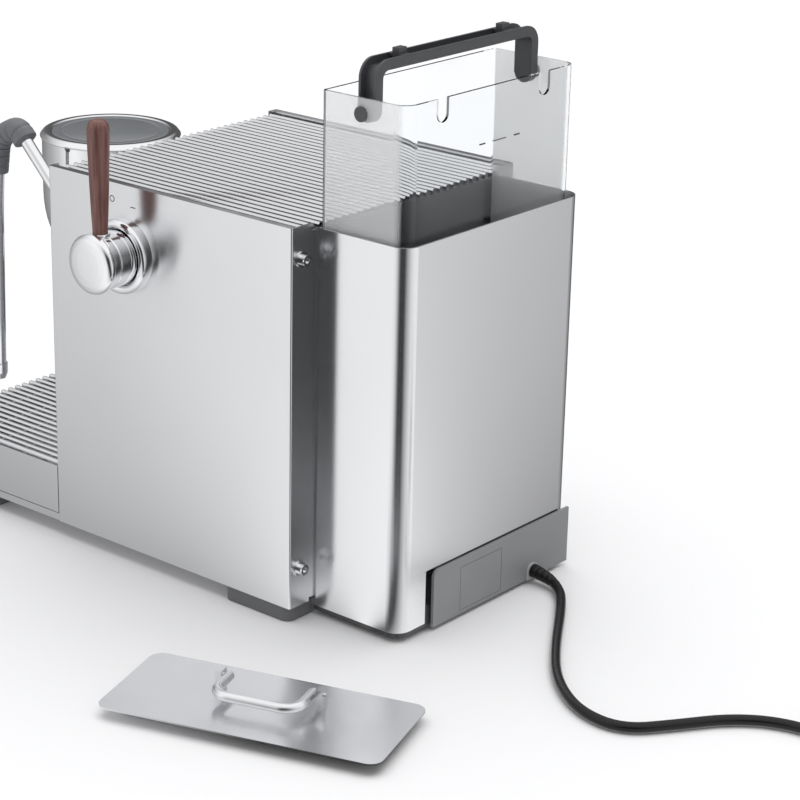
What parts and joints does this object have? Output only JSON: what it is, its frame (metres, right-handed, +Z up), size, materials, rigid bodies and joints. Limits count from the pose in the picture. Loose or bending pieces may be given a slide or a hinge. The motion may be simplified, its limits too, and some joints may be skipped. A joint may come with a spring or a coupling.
{
  "type": "espresso machine",
  "caption": "Compact steel espresso machine with a lift-out clear water tank at the rear, steam wand, lever knob, bell-shaped brewing group, wire cup rack and drip tray, lid set down beside it.",
  "frame": {"origin": "on the table under the middle of the box round the whole object, its lead, coil and plug left out", "axes": "+X to the side with the steam knob, +Y from the brewing group to the water tank, +Z up"},
  "size_m": [0.4632, 0.9325, 0.4395],
  "materials": {
    "stainless_sheet": "fine brushed, satin",
    "stainless_polished": "polished stainless steel",
    "chromed": "bright chrome",
    "steel_wire": "polished round wire",
    "grey_glass": "smoked glass disc",
    "clear_tank": "clear moulded plastic, glossy",
    "brewing_brass": "machined brass",
    "copper_pipe": "drawn copper",
    "boiler_metal": "cast",
    "wood_grip": "oiled, fine straight grain",
    "dark_grey_plastic": "fine matte",
    "foot_grey": "matte",
    "cover_grey": "fine matte",
    "gland_grey": "matte",
    "grey_rubber": "ribbed, soft",
    "black_rubber": "matte",
    "lead_black": "smooth, slightly glossy",
    "hose_clear": "silicone",
    "board_green": "coated board",
    "button_steel": "polished"
  },
  "bodies": {
    "machine": {"feet": "foot_grey", "chassis": "stainless_sheet", "side_panel_right": "stainless_sheet", "side_panel_left": "stainless_sheet", "front_panel": "stainless_sheet", "rear_panel": "stainless_sheet", "rear_fasteners": "chromed", "top_pan": "stainless_sheet", "tank_housing": "stainless_polished", "housing_base": "dark_grey_plastic", "tank_dock": "dark_grey_plastic", "access_plate": "cover_grey", "cord_gland": "gland_grey", "knob_flange": "chromed", "steam_valve": "brewing_brass", "group_shell": "chromed", "group_bezel": "chromed", "group_glass": "grey_glass", "group_core": "brewing_brass", "group_collar": "chromed", "group_gasket": "grey_rubber", "shower_screen": "chromed", "wand_socket": "chromed", "switch_bracket": "stainless_sheet", "boiler": "boiler_metal", "boiler_stand": "stainless_sheet", "pump": "dark_grey_plastic", "pump_mounts": "black_rubber", "solenoid_valve": "brewing_brass", "control_board": "board_green", "suction_hose": "hose_clear", "feed_pipe": "copper_pipe", "steam_pipe": "copper_pipe", "brew_pipe": "copper_pipe", "cord_tube": "lead_black", "cord_coil": "lead_black", "mains_plug": "lead_black"},
    "steam_knob": {"knob_body": "chromed", "knob_cap": "chromed", "lever_stick": "wood_grip", "valve_spindle": "brewing_brass"},
    "wand": {"wand_tube": "chromed", "wand_grip": "grey_rubber", "wand_tip": "chromed"},
    "holder": {"filter_holder": "chromed", "filter_basket": "chromed", "double_spout": "chromed", "holder_handle": "wood_grip"},
    "tray": {"drip_tray": "stainless_sheet"},
    "tray_grille": {"drip_grille": "steel_wire"},
    "cup_rack": {"cup_grille": "steel_wire"},
    "tank": {"water_tank": "clear_tank", "tank_valve": "dark_grey_plastic"},
    "bail": {"tank_bail": "dark_grey_plastic"},
    "lid": {"lid_plate": "stainless_polished", "lid_skirt": "dark_grey_plastic", "lid_posts": "stainless_polished"},
    "lid_handle": {"lid_loop": "stainless_polished"},
    "brew_switch": {"brew_button": "button_steel"},
    "power_switch": {"power_button": "button_steel"}
  },
  "joints": [
    {"name": "steam_knob_turn", "type": "hinge", "parent": "machine", "child": "steam_knob", "pos_m": [0.03035, -0.04989, 0.257], "axis": [1, 0, 0], "range_deg": [0, 75]},
    {"name": "wand_swivel", "type": "hinge", "parent": "machine", "child": "wand", "pos_m": [0.00435, -0.14689, 0.25], "axis": [0, 0, 1], "range_deg": [-10, 60]},
    {"name": "holder_turn", "type": "hinge", "parent": "machine", "child": "holder", "pos_m": [-0.10065, -0.20089, 0.2], "axis": [0, 0, 1], "range_deg": [0, 45]},
    {"name": "tray_slide", "type": "slide", "parent": "machine", "child": "tray", "axis": [0, -1, 0], "range_m": [0, 0.17]},
    {"name": "tray_grille_lift", "type": "slide", "parent": "tray", "child": "tray_grille", "axis": [0, 0, 1], "range_m": [0, 0.04]},
    {"name": "cup_rack_lift", "type": "slide", "parent": "machine", "child": "cup_rack", "axis": [0, 0, 1], "range_m": [0, 0.15]},
    {"name": "tank_lift", "type": "slide", "parent": "machine", "child": "tank", "axis": [0, 0, 1], "range_m": [-0.107, 0.19]},
    {"name": "bail_fold", "type": "hinge", "parent": "tank", "child": "bail", "pos_m": [-0.10065, 0.15911, 0.3975], "axis": [-1, 0, 0], "range_deg": [0, 90]},
    {"name": "lid_lift", "type": "slide", "parent": "machine", "child": "lid", "axis": [0, 0, 1], "range_m": [0, 0.15]},
    {"name": "lid_handle_lift", "type": "hinge", "parent": "lid", "child": "lid_handle", "pos_m": [0.14159, 0.20448, 0.0192], "axis": [0.309, -0.9511, 0], "range_deg": [0, 95]},
    {"name": "brew_press", "type": "slide", "parent": "machine", "child": "brew_switch", "axis": [0, 1, 0], "range_m": [0, 0.0015], "stiffness_N_per_m": 400},
    {"name": "power_press", "type": "slide", "parent": "machine", "child": "power_switch", "axis": [0, 1, 0], "range_m": [0, 0.0015], "stiffness_N_per_m": 400}
  ]
}
